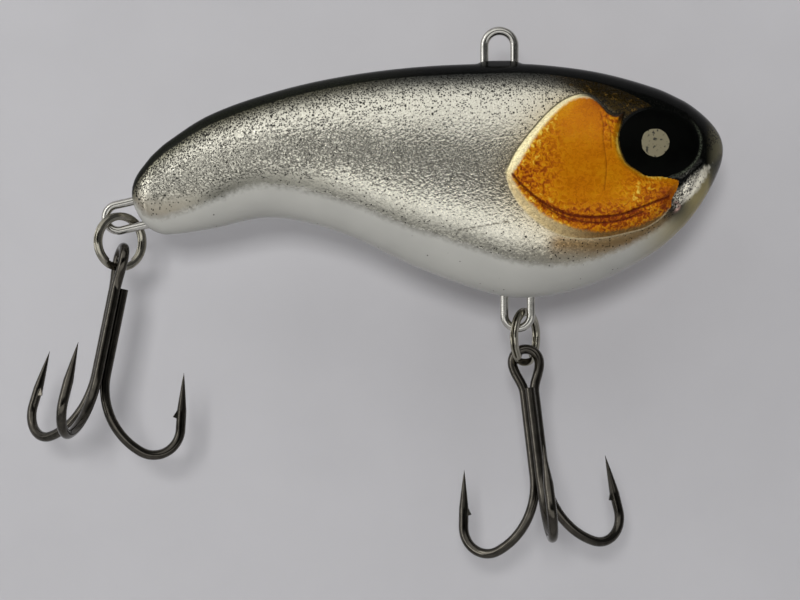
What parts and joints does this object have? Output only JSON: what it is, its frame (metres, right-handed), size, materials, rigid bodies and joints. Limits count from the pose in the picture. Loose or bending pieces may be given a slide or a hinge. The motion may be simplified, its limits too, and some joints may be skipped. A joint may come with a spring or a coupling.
{
  "type": "lipless hard lure",
  "caption": "Deep-bellied lipless hard lure with foil flanks, amber gill plates, wire eyes on back, belly and tail, and trebles on split rings.",
  "frame": {"origin": "middle of the line tie's eye, where a snap or knot holds the lure", "axes": "+X towards the nose, +Y towards the lure's left flank, +Z towards its back"},
  "size_m": [0.1002, 0.0257, 0.076],
  "materials": {
    "pearl_body": "pearl white paint under clear gloss",
    "flank_foil": "crinkled silver foil under clear gloss",
    "amber_gill": "amber lacquer over foil",
    "black_eye": "black gloss",
    "silver_pupil": "silver paint",
    "stainless_wire": "bright drawn wire",
    "nickel_ring": "nickel plate",
    "black_nickel": "black nickel plate",
    "lead": "cast"
  },
  "bodies": {
    "lure_body": {"right_body_half": "pearl_body", "left_body_half": "pearl_body", "right_flank_foil": "flank_foil", "left_flank_foil": "flank_foil", "right_gill_plate": "amber_gill", "left_gill_plate": "amber_gill", "right_eye": "black_eye", "left_eye": "black_eye", "right_pupil": "silver_pupil", "left_pupil": "silver_pupil", "line_tie": "stainless_wire", "belly_hanger": "stainless_wire", "tail_hanger": "stainless_wire", "front_ballast": "lead", "rear_ballast": "lead"},
    "belly_ring": {"belly_split_ring": "nickel_ring"},
    "belly_treble": {"belly_double_hook": "black_nickel", "belly_third_hook": "black_nickel"},
    "tail_ring": {"tail_split_ring": "nickel_ring"},
    "tail_treble": {"tail_double_hook": "black_nickel", "tail_third_hook": "black_nickel"}
  },
  "joints": [
    {"name": "belly_ring_turn", "type": "hinge", "parent": "lure_body", "child": "belly_ring", "pos_m": [0.00378, 0.0014, -0.04161], "axis": [-0.8746, 0.4848, 0], "range_deg": [-40, 60]},
    {"name": "belly_hook_swing", "type": "hinge", "parent": "belly_ring", "child": "belly_treble", "pos_m": [0.00387, 0.00157, -0.04526], "axis": [-0.0053, 0.9778, -0.2096], "range_deg": [-50, 70]},
    {"name": "tail_ring_turn", "type": "hinge", "parent": "lure_body", "child": "tail_ring", "pos_m": [-0.05415, -0.00012, -0.02799], "axis": [-0.6157, 0.788, 0], "range_deg": [-60, 80]},
    {"name": "tail_hook_swing", "type": "hinge", "parent": "tail_ring", "child": "tail_treble", "pos_m": [-0.0543, -0.00023, -0.03163], "axis": [-0.9241, -0.3137, 0.2184], "range_deg": [-80, 75]}
  ]
}
